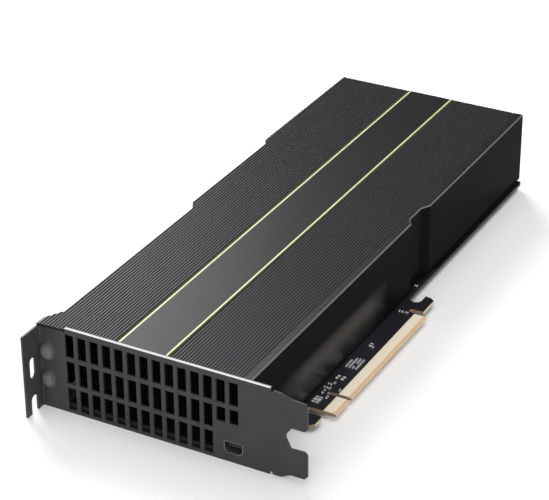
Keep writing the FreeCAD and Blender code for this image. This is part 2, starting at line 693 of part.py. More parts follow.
def make_stages():
    return Part.makeCompound([box(x - 2.5, y - 2.5, BOARD_TOP, x + 2.5, y + 2.5, STAGE_TOP)
                              for x, y in stage_places(STAGE_ROWS)])


def make_stage_pads():
    return Part.makeCompound([box(STAGE_START - 2, y - 2.7, STAGE_TOP,
                                  STAGE_LAST + 3, y + 2.7, STAGE_TOP + PAD_SOFT)
                              for y in STAGE_ROWS])


def make_coils():
    coils = []
    for x, y in stage_places(COIL_ROWS):
        coils.append(box(x - 3.4, y - 3.4, BOARD_TOP, x + 3.4, y + 3.4, COIL_TOP))
    return Part.makeCompound(coils)


def make_coil_pads():
    return Part.makeCompound([box(STAGE_START - 3.8, y - 3.4, COIL_TOP,
                                  STAGE_LAST + 3.8, y + 3.4, CHAMBER_BOTTOM)
                              for y in COIL_ROWS])


def make_bulk():
    """Low moulded capacitors in two rows beside the coils."""
    blocks = []
    for y in BULK_ROWS:
        for x, _ in stage_places((0,)):
            blocks.append(box(x - 2.15, y - 2.2, BOARD_TOP, x + 2.15, y + 2.2, BOARD_TOP + 2.8))
    return Part.makeCompound(blocks)


def chip(x, y, dx, dy, h):
    return box(x - dx / 2, y - dy / 2, BOARD_TOP, x + dx / 2, y + dy / 2, BOARD_TOP + h)


def make_edge_chips():
    """Small parts on the strip of board between the shroud and the contacts."""
    chips = []
    for dx, dy in ((-0.85, -1.15), (0.85, -1.15), (-0.85, 1.15), (0.85, 1.15)):
        chips.append(chip(BOARD_EDGE + 1.7 + dx, TONGUE_START + 5.75 + dy, 1.3, 1.9, CHIP_HEIGHT))
    for x, y, dx, dy in EDGE_CHIPS:
        chips.append(chip(BOARD_EDGE + x, TONGUE_START + y, dx, dy, CHIP_HEIGHT))
    return Part.makeCompound(chips)


def make_coupling_caps():
    """Cluster of ceramic capacitors in the lane pairs behind the contacts."""
    caps = []
    for row in range(4):
        for column in range(4):
            if (row, column) in ((1, 2), (3, 0)):
                continue
            x = BOARD_EDGE + 0.7 + column * 1.5
            y = TONGUE_START + 34.05 + row * 2.1
            caps.append(chip(x, y, 0.7, 1.35, 0.5))
    return Part.makeCompound(caps)


def make_socket():
    y0 = 0.05
    y1 = 14.0
    body = socket_prism(0, y0, y1)
    inner = [(PORT_LEFT + 0.35 + PORT_CUT * 0.85, BOARD_TOP + 0.35),
             (PORT_LEFT + PORT_WIDTH - 0.35 - PORT_CUT * 0.85, BOARD_TOP + 0.35),
             (PORT_LEFT + PORT_WIDTH - 0.35, BOARD_TOP + 0.35 + PORT_CUT * 0.85),
             (PORT_LEFT + PORT_WIDTH - 0.35, BOARD_TOP + PORT_HEIGHT - 0.35),
             (PORT_LEFT + 0.35, BOARD_TOP + PORT_HEIGHT - 0.35),
             (PORT_LEFT + 0.35, BOARD_TOP + 0.35 + PORT_CUT * 0.85)]
    return body.cut(front_plate(inner, y0 - 1, y1 - 0.4))


def make_socket_insert():
    x0 = PORT_LEFT + 0.35
    x1 = PORT_LEFT + PORT_WIDTH - 0.35
    block = box(x0, 7.0, BOARD_TOP + 1.65, x1, 13.6, BOARD_TOP + PORT_HEIGHT - 0.35)
    tongue = box(x0 + 1.0, 1.6, BOARD_TOP + 2.5, x1 - 1.0, 7.0, BOARD_TOP + 3.4)
    return block.fuse(tongue).removeSplitter()


def make_inlet():
    """Eight-way power inlet, four across and two high, that faces the tail."""
    z0 = BOARD_TOP
    z1 = z0 + 10.4
    body = box(INLET_X0, INLET_Y, z0, INLET_X1, BOARD_END - 1.0, z1)
    for k in range(4):
        for row in range(2):
            x = inlet_x(k)
            z = inlet_z(row)
            body = body.cut(box(x - 1.85, INLET_Y + 6, z - 1.85, x + 1.85, CARD_END, z + 1.85))
    latch = box((INLET_X0 + INLET_X1) / 2 - 2.2, INLET_Y + 8, z1, (INLET_X0 + INLET_X1) / 2 + 2.2,
                INLET_Y + 14, z1 + 1.4)
    return body.fuse(latch).removeSplitter()


def inlet_x(k):
    return (INLET_X0 + INLET_X1) / 2 + (k - 1.5) * INLET_PITCH


def inlet_z(row):
    return BOARD_TOP + 5.2 + (row - 0.5) * INLET_PITCH


def make_inlet_pins():
    pins = []
    for k in range(4):
        for row in range(2):
            x = inlet_x(k)
            z = inlet_z(row)
            pins.append(box(x - 0.55, INLET_Y + 6, z - 0.55, x + 0.55, BOARD_END - 4, z + 0.55))
    return Part.makeCompound(pins)


def make_tail_bar():
    """Cross bar at the tail with threaded holes for a rear support bracket."""
    z0 = SHROUD_TOP - SHROUD_WALL - TAIL_BAR_HEIGHT
    z1 = SHROUD_TOP - SHROUD_WALL
    y0 = CARD_END - TAIL_BAR_DEPTH
    x0 = TAIL_LEFT + SHROUD_WALL
    x1 = SHROUD_RIGHT - SHROUD_WALL
    body = box(x0, y0, z1 - 1.2, x1, CARD_END, z1)
    for x in TAIL_HOLES:
        body = body.fuse(box(x - 4.0, y0, z0, x + 4.0, CARD_END, z1))
        hole = Part.makeCylinder(TAIL_HOLE_R, 6, FreeCAD.Vector(x, y0 - 1, z0 + 2.9), FreeCAD.Vector(0, 1, 0))
        body = body.cut(hole)
    return body.removeSplitter()


os.makedirs("parts", exist_ok=True)
keep("bracket", make_bracket())
keep("shroud", make_shroud())
keep("accent_strip_left", make_strip(STRIP_LEFT))
keep("accent_strip_right", make_strip(STRIP_RIGHT))
keep("circuit_board", make_board())
keep("edge_contacts_upper", make_pads(BOARD_TOP, (1,)))
keep("edge_contacts_lower", make_pads(BOARD_BOTTOM - PAD_THICK, (17, 31, 48, 81)))
keep("backplate", make_backplate())
keep("insulation_film", make_film())
keep("clamp_frame", make_clamp())
keep("backplate_screws", make_plate_screws())
keep("bracket_screws", make_lug_screws())
keep("clamp_screws", make_clamp_screws())
keep("fin_stack", make_fins())
keep("vapor_chamber", make_chamber())
keep("processor_substrate", make_substrate())
keep("package_stiffener", make_stiffener())
keep("processor_die", make_die())
keep("memory_stacks", make_memory())
keep("power_stages", make_stages())
keep("stage_pads", make_stage_pads())
keep("inductors", make_coils())
keep("inductor_pads", make_coil_pads())
keep("bulk_capacitors", make_bulk())
keep("edge_chips", make_edge_chips())
keep("coupling_capacitors", make_coupling_caps())
keep("service_socket", make_socket())
keep("socket_insert", make_socket_insert())
keep("power_inlet", make_inlet())
keep("power_inlet_pins", make_inlet_pins())
keep("tail_bar", make_tail_bar())
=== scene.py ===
import bpy
import math
import numpy as np
from mathutils import Matrix, Vector


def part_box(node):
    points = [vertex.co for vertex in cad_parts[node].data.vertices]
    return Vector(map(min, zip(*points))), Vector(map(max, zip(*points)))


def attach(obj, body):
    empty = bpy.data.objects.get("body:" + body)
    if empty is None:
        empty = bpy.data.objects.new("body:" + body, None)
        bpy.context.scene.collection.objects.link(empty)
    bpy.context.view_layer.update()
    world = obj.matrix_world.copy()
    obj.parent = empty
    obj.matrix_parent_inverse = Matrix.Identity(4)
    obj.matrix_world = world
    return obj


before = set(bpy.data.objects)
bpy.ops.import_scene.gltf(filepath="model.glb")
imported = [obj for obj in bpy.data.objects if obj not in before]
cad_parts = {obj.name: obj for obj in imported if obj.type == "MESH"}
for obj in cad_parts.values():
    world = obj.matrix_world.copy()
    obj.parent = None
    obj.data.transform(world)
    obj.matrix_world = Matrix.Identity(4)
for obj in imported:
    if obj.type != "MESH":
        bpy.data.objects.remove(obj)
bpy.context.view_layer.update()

# ---------------------------------------------------------------- bracket
# One sheet of steel, punched with its vents and folded into the mounting tab,
# the face and two prongs. Its dark powder coat has a fine grain, with a painted
# highlight on the darts and another on the top of the folded hem.


class Field:
    """One output socket of a node tree, with arithmetic that adds Math nodes."""

    def __init__(self, tree, socket):
        self.tree = tree
        self.socket = socket

    def maths(self, operation, *others, swap=False, clamp=False):
        """One Math node on this value and the others, or with their order swapped."""
        terms = [self, *others]
        if swap:
            terms.reverse()
        settings = {"operation": operation, "use_clamp": clamp}
        return wired(self.tree, "ShaderNodeMath", settings, dict(enumerate(terms)))

    def __add__(self, other):
        return self.maths("ADD", other)

    def __radd__(self, other):
        return self.maths("ADD", other, swap=True)

    def __sub__(self, other):
        return self.maths("SUBTRACT", other)

    def __rsub__(self, other):
        return self.maths("SUBTRACT", other, swap=True)

    def __mul__(self, other):
        return self.maths("MULTIPLY", other)

    def __rmul__(self, other):
        return self.maths("MULTIPLY", other, swap=True)

    def __truediv__(self, other):
        return self.maths("DIVIDE", other)

    def __gt__(self, other):
        return self.maths("GREATER_THAN", other)

    def __lt__(self, other):
        return self.maths("LESS_THAN", other)

    def __abs__(self):
        return self.maths("ABSOLUTE")

    def ramp(self, low, high):
        """Goes evenly from 0 at low to 1 at high, and stays there."""
        return ((self - low) / (high - low)).maths("ADD", 0.0, clamp=True)


def feed(tree, target, value):
    """Links a field to a socket, or writes a plain value into it."""
    if isinstance(value, Field):
        tree.links.new(value.socket, target)
    else:
        target.default_value = value


def wired(tree, kind, settings, values, out=0):
    """Any node: its settings first, then the values or links of its sockets."""
    node = tree.nodes.new(kind)
    for name, value in settings.items():
        setattr(node, name, value)
    for name, value in values.items():
        feed(tree, node.inputs[name], value)
    return Field(tree, node.outputs[out])


class Finish:
    """A new material on one shader, with its pattern worked out from Object coordinates."""

    # The sockets of a Mix node that hold its two colours and the mixed one.
    MIX_FIRST, MIX_SECOND, MIX_OUT = 6, 7, 2

    def __init__(self, name, colour, roughness, metallic=0.0, specular=0.5):
        self.material = bpy.data.materials.new(name)
        self.material.use_nodes = True
        self.tree = self.material.node_tree
        self.shader = self.tree.nodes["Principled BSDF"]
        self.put(Base_Color=(*colour, 1.0), Roughness=roughness, Metallic=metallic,
                 Specular_IOR_Level=specular)
        self.place = self.node("ShaderNodeTexCoord", out="Object")
        self.x, self.y, self.z = self.parts(self.place)
        self.right, self.front, self.up = self.parts(self.node("ShaderNodeNewGeometry", out="Normal"))

    def parts(self, vector):
        """The X, the Y and the Z of a vector."""
        split = self.node("ShaderNodeSeparateXYZ", Vector=vector).socket.node
        return [Field(self.tree, socket) for socket in split.outputs]

    def node(self, kind, settings=None, out=0, **sockets):
        """Any node of this material, with an underscore for each space in a socket's name."""
        values = {name.replace("_", " "): value for name, value in sockets.items()}
        return wired(self.tree, kind, settings or {}, values, out)

    def noise(self, scale, detail=2.0, stretch=(1.0, 1.0, 1.0)):
        """Cloudy noise from 0 to 1. A stretch under 1 draws its grain out along that axis."""
        place = self.node("ShaderNodeMapping", Vector=self.place, Scale=stretch)
        return self.node("ShaderNodeTexNoise", out="Fac", Vector=place, Scale=scale, Detail=detail)

    def bands(self, axis, scale):
        """Straight waves from 0 to 1 along an axis, each 2 pi / 20 long at a scale of 1."""
        settings = {"wave_type": "BANDS", "bands_direction": axis}
        return self.node("ShaderNodeTexWave", settings, out="Fac",
                         Vector=self.place, Scale=scale, Distortion=0.0)

    def blend(self, mask, first, second):
        """A colour that goes from the first to the second as the mask goes from 0 to 1."""
        tones = [tone if isinstance(tone, Field) else (*tone, 1.0) for tone in (first, second)]
        values = {"Factor": mask, self.MIX_FIRST: tones[0], self.MIX_SECOND: tones[1]}
        return wired(self.tree, "ShaderNodeMix", {"data_type": "RGBA"}, values, self.MIX_OUT)

    def mottle(self, scale, first, second):
        """A colour that clouds over from the first to the second, with noise of one scale."""
        return self.blend(self.noise(scale).ramp(0.3, 0.7), first, second)

    def bump(self, height, distance):
        """Relief on the shader's normal, in metres: the height times the distance."""
        self.put(Normal=self.node("ShaderNodeBump", Height=height, Distance=distance))

    def put(self, **sockets):
        """Writes plain values into the shader's sockets, or links fields to them."""
        for name, value in sockets.items():
            feed(self.tree, self.shader.inputs[name.replace("_", " ")], value)

    def on(self, *pieces):
        """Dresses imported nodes, given by their names, or new pieces."""
        for piece in pieces:
            mesh = (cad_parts[piece] if isinstance(piece, str) else piece).data
            mesh.materials.clear()
            mesh.materials.append(self.material)


COAT_DARK = (0.040, 0.0405, 0.041)
COAT_LIGHT = (0.048, 0.0485, 0.049)
DART_HIGHLIGHT = (0.125, 0.127, 0.128)
HEM_HIGHLIGHT = (0.53, 0.54, 0.55)
TAB_DEPTH = 0.01143
HEM_DROP = 0.0011
HEM_REACH = 0.0013
HEM_FROM_TAB = 0.0127
HEM_FROM_PRONGS = 0.0157
DART_FADE = (0.0095, 0.0112)
TAB_SHEET = 0.0010
bracket_low, bracket_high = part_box("bracket")
coat = Finish("bracket_coat", COAT_DARK, 0.5, specular=0.22)
cloud = coat.noise(90.0, detail=3.0)
tone = coat.blend(cloud.ramp(0.35, 0.65), COAT_DARK, COAT_LIGHT)
# The up-facing top of the folded hem takes a pale painted highlight.
hem = (coat.z > bracket_high[2] - HEM_DROP) * coat.up.ramp(0.2, 0.6)
hem = hem * (coat.x > bracket_low[0] + HEM_FROM_TAB) * (coat.x < bracket_high[0] - HEM_FROM_PRONGS)
hem = hem * (coat.y < bracket_low[1] + TAB_DEPTH + HEM_REACH)
tone = coat.blend(hem, tone, HEM_HIGHLIGHT)
# The forward-facing bulges of the darts are lightened with a painted highlight.
dart = 1.0 - coat.y.ramp(bracket_low[1] + DART_FADE[0], bracket_low[1] + DART_FADE[1])
dart = dart * (coat.x > bracket_low[0] + TAB_SHEET) * coat.front.ramp(-0.3, -0.9)
tone = coat.blend(dart, tone, DART_HIGHLIGHT)
coat.put(Base_Color=tone, Roughness=0.46 + 0.12 * cloud)
coat.bump(coat.noise(4200.0), distance=0.000010)
coat.on("bracket")

# ---------------------------------------------------------------- dart pins
# Two small turned pins of steel with low domed heads, staked through the
# darts beside the tab and left bare.


def ring_quads(rings, sides):
    """The faces between rings of points: side s of ring r joins corners s and s + 1 of that ring
    with corners s + 1 and s of ring r + 1, and the last side closes on corner 0. They face
    outwards where each ring turns like a right-hand screw that moves on to the next ring."""
    ring, side = np.meshgrid(np.arange(rings - 1), np.arange(sides), indexing="ij")
    after = (side + 1) % sides
    return np.stack([ring * sides + side, ring * sides + after,
                     (ring + 1) * sides + after, (ring + 1) * sides + side], axis=-1).reshape(-1, 4)


def built(name, points, faces):
    """A new piece at the origin, unturned, with its points and faces as they are given."""
    mesh = bpy.data.meshes.new(name)
    mesh.from_pydata(points.reshape(-1, 3).tolist(), [], faces)
    thing = bpy.data.objects.new(name, mesh)
    bpy.context.collection.objects.link(thing)
    return thing


# A pin is an outline turned round its axis: at angle a and width w it is at w cos a along the
# bracket and w sin a upwards. Its foot ring is sunk in the dart, and its tip closes to a point.
# Widths are shares of the radius, and the dome's steps are shares of its rise over the dart.
PIN_R = 0.00085
PIN_RISE = 0.00045
PIN_FOOT = 0.0001
PIN_SEAT = 0.00135
PIN_FROM_TAB = 0.0070
PIN_HEIGHTS = (0.0262, 0.0142)
PIN_SIDES = 24
PIN_WIDTHS = (1.15, 1.12, 0.98, 0.72, 0.38, 0.0)
DOME_STEPS = (0.0, 0.35, 0.72, 0.93, 1.0)
face_front = bracket_low[1] + TAB_DEPTH
turns = np.linspace(0.0, 2.0 * math.pi, PIN_SIDES, endpoint=False)
widths = np.array(PIN_WIDTHS) * PIN_R
stands_out = np.append(PIN_FOOT, PIN_SEAT + np.array(DOME_STEPS) * PIN_RISE)
pin_points = np.empty((len(PIN_HEIGHTS), len(PIN_WIDTHS), PIN_SIDES, 3))
pin_points[..., 0] = np.outer(widths, np.cos(turns)) + bracket_low[0] + PIN_FROM_TAB
pin_points[..., 1] = face_front - stands_out[:, None]
pin_points[..., 2] = np.outer(widths, np.sin(turns)) + np.reshape(PIN_HEIGHTS, (-1, 1, 1))
first_points = np.arange(len(PIN_HEIGHTS))[:, None, None] * len(PIN_WIDTHS) * PIN_SIDES
pin_faces = (first_points + ring_quads(len(PIN_WIDTHS), PIN_SIDES)).reshape(-1, 4)
pins = built("dart_pins", pin_points, pin_faces.tolist())
pins.data.polygons.foreach_set("use_smooth", np.ones(len(pin_faces), dtype=bool))
pin_steel = Finish("pin_steel", (0.10, 0.10, 0.10), 0.3, metallic=0.6)
pin_steel.put(Roughness=0.25 + 0.2 * pin_steel.noise(2000.0))
pin_steel.on(pins)
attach(pins, "root")

# ---------------------------------------------------------------- shroud
# One black moulding over the whole card, held by screws in the eight posts
# inside it. Its top is ribbed along the card but for a smooth band in the
# middle, and its side walls are polished.

SHROUD_BLACK = (0.008, 0.008, 0.0085)
RIB_GREY = (0.0105, 0.0109, 0.0128)
GROOVE_FLOOR_PAINTED_LIGHT = (0.0400, 0.0410, 0.0450)
GROOVE_PAINTED_SHADE = (0.003, 0.003, 0.0035)
BEVEL_HIGHLIGHT = (0.155, 0.158, 0.162)
RIB_PITCH = 0.00137
RIB_DEPTHS = (0.00022, 0.00006)
MARGIN = (0.0038, 0.0004)
shroud_low, shroud_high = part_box("shroud")
left_low, left_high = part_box("accent_strip_left")
right_low, right_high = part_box("accent_strip_right")
left_middle = (left_low[0] + left_high[0]) / 2
right_middle = (right_low[0] + right_high[0]) / 2
cover = Finish("shroud_satin", SHROUD_BLACK, 0.3, specular=0.12)
top = cover.up.ramp(0.8, 0.9)
# The bevel along the right top edge, facing up and to the right, takes a pale painted highlight.
edge = cover.up.ramp(0.5, 0.6) * (1.0 - top) * cover.right.ramp(0.5, 0.6)
drift = cover.noise(14.0, stretch=(1.0, 0.3, 1.0))
# The groove floors are lighter than the rib tops: painted light that evens out the shade in the grooves.
sunk = 1.0 - cover.z.ramp(shroud_high[2] - RIB_DEPTHS[0], shroud_high[2] - RIB_DEPTHS[1])
lid = cover.blend(sunk, RIB_GREY, GROOVE_FLOOR_PAINTED_LIGHT)
# In the margin by the right edge, where the moulding has no ribs, grooves are painted on at the ribs' pitch
# as dark lines of painted shade, with a bump.
margin = (cover.x > shroud_high[0] - MARGIN[0]) * (cover.x < shroud_high[0] - MARGIN[1]) * top
line = (1.0 - cover.bands("X", 2.0 * math.pi / (20.0 * RIB_PITCH)).ramp(0.25, 0.55)) * margin
skin = cover.blend(top, SHROUD_BLACK, cover.blend(line, lid, GROOVE_PAINTED_SHADE))
cover.put(Base_Color=cover.blend(edge, skin, BEVEL_HIGHLIGHT), Roughness=0.30 + 0.05 * drift)
cover.bump(0.02 * cover.noise(2600.0) - line, distance=0.0003)
cover.on("shroud")

# The smooth band between the two strips is a little duller than the ribs.
BAND_GREY = (0.0115, 0.0118, 0.0120)
BAND_SMEARED = (0.0130, 0.0133, 0.0136)
band = Finish("shroud_band", BAND_GREY, 0.34, specular=0.06)
smear = band.noise(30.0, detail=3.0, stretch=(1.0, 0.2, 1.0))
band.put(Base_Color=band.blend(smear.ramp(0.3, 0.7), BAND_GREY, BAND_SMEARED), Roughness=0.30 + 0.05 * smear)
band.bump(band.noise(2600.0), distance=0.000006)

# A matt olive tint lies on the narrow lands beside the two strips.
LAND_OLIVE = (0.040, 0.036, 0.012)
LAND_PALE = (0.050, 0.047, 0.018)
land = Finish("shroud_lands", LAND_OLIVE, 0.6, specular=0.02)
land.put(Base_Color=land.mottle(80.0, LAND_OLIVE, LAND_PALE))

# The walls are smoother than the lid and lean in by a moulding's draft. They are polished most
# beside the connector: between two distances from the front, and up to half their height.
WALL_BLACK = (0.0065, 0.0065, 0.0068)
WALL_DRAFT = 0.07
POLISH_STARTS = (0.020, 0.045)
POLISH_ENDS = (0.106, 0.121)
POLISH_TOP = (0.012, 0.024)
MILLIMETRE = 0.001
walls = Finish("shroud_walls", WALL_BLACK, 0.2, specular=0.005)
polish = walls.y.ramp(shroud_low[1] + POLISH_STARTS[0], shroud_low[1] + POLISH_STARTS[1])
polish = polish * (1.0 - walls.y.ramp(shroud_low[1] + POLISH_ENDS[0], shroud_low[1] + POLISH_ENDS[1]))
polish = polish * (1.0 - walls.z.ramp(*POLISH_TOP)) * walls.right.ramp(0.6, 0.9)
walls.put(Coat_Weight=polish, Coat_Roughness=0.28, Coat_IOR=1.85, Roughness=0.20 + 0.08 * walls.noise(40.0))
walls.bump(-WALL_DRAFT / MILLIMETRE * walls.z, distance=MILLIMETRE)


def vectors(elements, name):
    """One vector of each vertex or face of a mesh, as the rows of an array."""
    values = np.empty(len(elements) * 3)
    elements.foreach_get(name, values)
    return values.reshape(-1, 3)


# Each face of the shroud takes its finish from where it lies and which way it looks.
LAND_REACH = (0.0006, 0.0018)
LOOKS_UP = 0.9
LOOKS_SIDEWAYS = 0.5
LID_SLOT, BAND_SLOT, WALL_SLOT, LAND_SLOT = range(4)
shroud_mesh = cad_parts["shroud"].data
for finish in (band, walls, land):
    shroud_mesh.materials.append(finish.material)
face_up = vectors(shroud_mesh.polygons, "normal")[:, 2]
face_x, _, face_z = vectors(shroud_mesh.polygons, "center").T
banded = (face_up > LOOKS_UP) & (face_x > left_high[0]) & (face_x < right_low[0])
sideways = (face_up < LOOKS_SIDEWAYS) & (face_z < shroud_high[2] - MILLIMETRE)
off_strip = np.maximum(left_middle - face_x, face_x - right_middle)
beside = (off_strip > LAND_REACH[0]) & (off_strip < LAND_REACH[1])
beside = beside & (face_up > LOOKS_UP) & (face_z > shroud_high[2] - 0.1 * MILLIMETRE)
slots = np.select([banded, sideways, beside], [BAND_SLOT, WALL_SLOT, LAND_SLOT], LID_SLOT)
shroud_mesh.polygons.foreach_set("material_index", slots.astype(np.int32))

# ---------------------------------------------------------------- accent strips
# Two narrow strips of pale yellow-green plastic, pressed into channels that
# run the whole length of the shroud's top, with an olive line on each edge.

STRIP_PALE = (0.55, 0.56, 0.33)
STRIP_SHY = (0.49, 0.50, 0.28)
STRIP_OLIVE = (0.12, 0.135, 0.018)
CORE_HALF = 0.00034
CORE_BLUR = 0.00005
for node, middle in (("accent_strip_left", left_middle), ("accent_strip_right", right_middle)):
    strip = Finish(node + "_plastic", STRIP_PALE, 0.45)
    core = strip.mottle(60.0, STRIP_PALE, STRIP_SHY)
    border = abs(strip.x - middle).ramp(CORE_HALF - CORE_BLUR, CORE_HALF + CORE_BLUR)
    strip.put(Base_Color=strip.blend(border, core, STRIP_OLIVE))
    strip.on(node)

# ---------------------------------------------------------------- circuit board
# Fibreglass laminate, milled to its outline under a near-black solder mask.
# Its cut edges show the raw laminate, brown in the key notch and darkened with
# painted shade along the card, its mask has painted shade where the shroud
# covers it, and its tongue is bare, with a tan bevel ground on the tip.

MASK_DARK = (0.0165, 0.0162, 0.0215)
MASK_TRACE = (0.022, 0.022, 0.029)
MASK_PAINTED_SHADE = (0.007, 0.007, 0.008)
LAMINATE = (0.74, 0.64, 0.48)
LAMINATE_WEAVE = (0.60, 0.50, 0.36)
EDGE_PAINTED_SHADE = (0.085, 0.068, 0.050)
BARE_TONGUE = (0.80, 0.72, 0.56)
BEVEL_TAN = (0.72, 0.48, 0.28)
NOTCH_BROWN = (0.27, 0.20, 0.15)
BEVEL_LENGTH = 0.00141
BARE_BEHIND = 0.0003
BARE_BESIDE = 0.0009
TONGUE_ROOT = 0.0068
COVERED_FROM = 0.168
FRONT_EDGE = 0.001
board_low, board_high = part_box("circuit_board")
pads_low, pads_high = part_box("edge_contacts_upper")
board = Finish("board_mask", MASK_DARK, 0.35, specular=0.2)
breaks = board.noise(120.0, detail=1.0, stretch=(1.0, 0.25, 1.0)).ramp(0.48, 0.52)
traces = board.bands("Y", 420.0).ramp(0.55, 0.65) * breaks
mask = board.blend(traces, MASK_DARK, MASK_TRACE)
tongue = (board.y > pads_low[1] - BARE_BESIDE) * (board.y < pads_high[1] + BARE_BESIDE)
mask = board.blend(tongue * (board.x > pads_low[0] - BARE_BEHIND), mask, BARE_TONGUE)
mask = board.blend(board.x > board_high[0] - BEVEL_LENGTH, mask, BEVEL_TAN)
# Where the shroud reaches over the board, and beyond a given distance from the front, the mask's upward face
# is darkened with painted shade.
covered = (board.x < shroud_high[0]).maths("MAXIMUM", board.y > board_low[1] + COVERED_FROM)
mask = board.blend(covered * board.up.ramp(0.0, 0.5), mask, MASK_PAINTED_SHADE)
weave = board.noise(3000.0, detail=1.0, stretch=(1.0, 1.0, 8.0)).ramp(0.3, 0.7)
edge_tone = board.blend(weave, LAMINATE, LAMINATE_WEAVE)
# Back from the tongue, the cut edges are darkened with painted shade.
edge_tone = board.blend(board.x < pads_low[0] - TONGUE_ROOT, edge_tone, EDGE_PAINTED_SHADE)
looks_front = board.front < -0.5
edge_tone = board.blend(looks_front * (board.y < board_low[1] + FRONT_EDGE), edge_tone, MASK_DARK)
edge_tone = board.blend(looks_front * (board.x > pads_low[0] - TONGUE_ROOT), edge_tone, NOTCH_BROWN)
flat = abs(board.up).ramp(0.6, 0.9)
board.put(Base_Color=board.blend(flat, edge_tone, mask), Roughness=0.75 - 0.4 * flat)
board.bump(traces, distance=0.00003)
board.on("circuit_board")

# ---------------------------------------------------------------- gasket
# A strip of black foam with its two lower edges bevelled, glued behind the
# bracket to close the gap under the board. It is put here chiefly so that the
# gap seen through the lowest vents reads as dark as shade, not as floor.

FOAM_BLACK = (0.004, 0.004, 0.004)
FOAM_GREY = (0.009, 0.009, 0.009)
GASKET_ENDS = (0.0110, 0.0830)
GASKET_SIDES = (-0.0002, 0.0016)
GASKET_BOTTOM = 0.0004
GASKET_SLICES = 60
# Its section is carried straight along the bracket: each corner has a share of the strip's depth
# and a share of its height, and each slice has a share of its length.
SECTION = np.array([[0.0, 0.12], [0.12, 0.0], [0.88, 0.0], [1.0, 0.12], [1.0, 1.0], [0.0, 1.0]])
gasket_low = np.array([bracket_low[0] + GASKET_ENDS[0], board_low[1] + GASKET_SIDES[0], GASKET_BOTTOM])
gasket_high = np.array([bracket_low[0] + GASKET_ENDS[1], board_low[1] + GASKET_SIDES[1], board_low[2]])
shares = np.empty((GASKET_SLICES, len(SECTION), 3))
shares[:, :, 0] = np.linspace(0.0, 1.0, GASKET_SLICES)[:, None]
shares[:, :, 1:] = SECTION
gasket_faces = ring_quads(GASKET_SLICES, len(SECTION)).tolist()
first_end = np.arange(len(SECTION))
last_end = first_end + (GASKET_SLICES - 1) * len(SECTION)
gasket_faces += [first_end[::-1].tolist(), last_end.tolist()]
gasket = built("gap_shade_foam", gasket_low + shares * (gasket_high - gasket_low), gasket_faces)
foam = Finish("foam_black", (0.006, 0.006, 0.006), 0.9, specular=0.1)
foam.put(Base_Color=foam.mottle(2200.0, FOAM_BLACK, FOAM_GREY))
foam.bump(foam.noise(3000.0), distance=0.00004)
foam.on(gasket)
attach(gasket, "root")

# ---------------------------------------------------------------- edge contacts
# Gold-plated copper pads, etched on both faces of the tongue and wiped along
# their length when the card is plugged in.

GOLD = (1.0, 0.91, 0.76)
GOLD_WORN = (0.98, 0.87, 0.69)
gold = Finish("contact_gold", GOLD, 0.3, metallic=0.03)
wipe = gold.noise(700.0, stretch=(0.15, 1.0, 1.0))
gold.put(Base_Color=gold.blend(wipe.ramp(0.3, 0.7), GOLD, GOLD_WORN), Roughness=0.26 + 0.12 * wipe)
gold.on("edge_contacts_upper", "edge_contacts_lower")

# ---------------------------------------------------------------- fins and chamber
# Thin aluminium fins, dark anodised and soldered side by side on a vapour
# chamber of nickel-plated copper.

FIN_BLACK = (0.004, 0.004, 0.004)
FIN_DARK = (0.007, 0.007, 0.007)
fin = Finish("fin_dark", (0.005, 0.005, 0.005), 0.6, specular=0.05)
fin.put(Base_Color=fin.mottle(300.0, FIN_BLACK, FIN_DARK))
fin.on("fin_stack")
plate = Finish("chamber_plate", (0.12, 0.12, 0.12), 0.4, metallic=0.6)
plate.put(Roughness=0.35 + 0.15 * plate.noise(240.0, stretch=(1.0, 0.1, 1.0)))
plate.on("vapor_chamber")

# ---------------------------------------------------------------- underside
# The back plate is stamped steel with a dark coat, like the bar at the tail,
# over a black plastic film. A frame of bare spring steel clamps the cooler
# down through its opening.

PLATE_DARK = (0.028, 0.028, 0.028)
PLATE_GREY = (0.034, 0.034, 0.034)
back = Finish("plate_coat", (0.030, 0.030, 0.030), 0.5)
haze = back.noise(70.0, detail=3.0)
back.put(Base_Color=back.blend(haze.ramp(0.3, 0.7), PLATE_DARK, PLATE_GREY), Roughness=0.45 + 0.12 * haze)
back.bump(back.noise(4200.0), distance=0.000012)
back.on("backplate", "tail_bar")
film = Finish("film_black", (0.010, 0.010, 0.010), 0.35)
film.put(Roughness=0.3 + 0.15 * film.noise(150.0))
film.on("insulation_film")
spring = Finish("spring_steel", (0.52, 0.52, 0.51), 0.3, metallic=1.0)
spring.put(Roughness=0.25 + 0.2 * spring.noise(500.0, stretch=(0.1, 1.0, 1.0)))
spring.on("clamp_frame", "package_stiffener")

# ---------------------------------------------------------------- parts on the board
# Moulded chips and connectors, ferrite coils and black bulk capacitors, all
# soldered to the board, with soft pads that carry their heat away, and the
# processor: bare silicon on a green substrate.

FERRITE_DARK = (0.045, 0.045, 0.05)
FERRITE_GREY = (0.065, 0.065, 0.07)
PAD_GREY = (0.28, 0.31, 0.35)
PAD_PALE = (0.33, 0.36, 0.40)
moulded = Finish("chip_black", (0.018, 0.018, 0.019), 0.5)
moulded.put(Roughness=0.42 + 0.16 * moulded.noise(1500.0))
moulded.bump(moulded.noise(5000.0), distance=0.00001)
moulded.on("power_stages", "power_inlet", "socket_insert")
ferrite = Finish("ferrite_grey", (0.05, 0.05, 0.055), 0.6)
ferrite.put(Base_Color=ferrite.mottle(1200.0, FERRITE_DARK, FERRITE_GREY))
ferrite.on("inductors")
can = Finish("bulk_black", (0.03, 0.03, 0.032), 0.45)
can.put(Roughness=0.3 + 0.15 * can.noise(600.0))
can.on("bulk_capacitors")
pad = Finish("soft_pad", (0.30, 0.33, 0.37), 0.8)
pad.put(Base_Color=pad.mottle(400.0, PAD_GREY, PAD_PALE))
pad.on("stage_pads", "inductor_pads")
green = Finish("substrate_green", (0.02, 0.05, 0.03), 0.4)
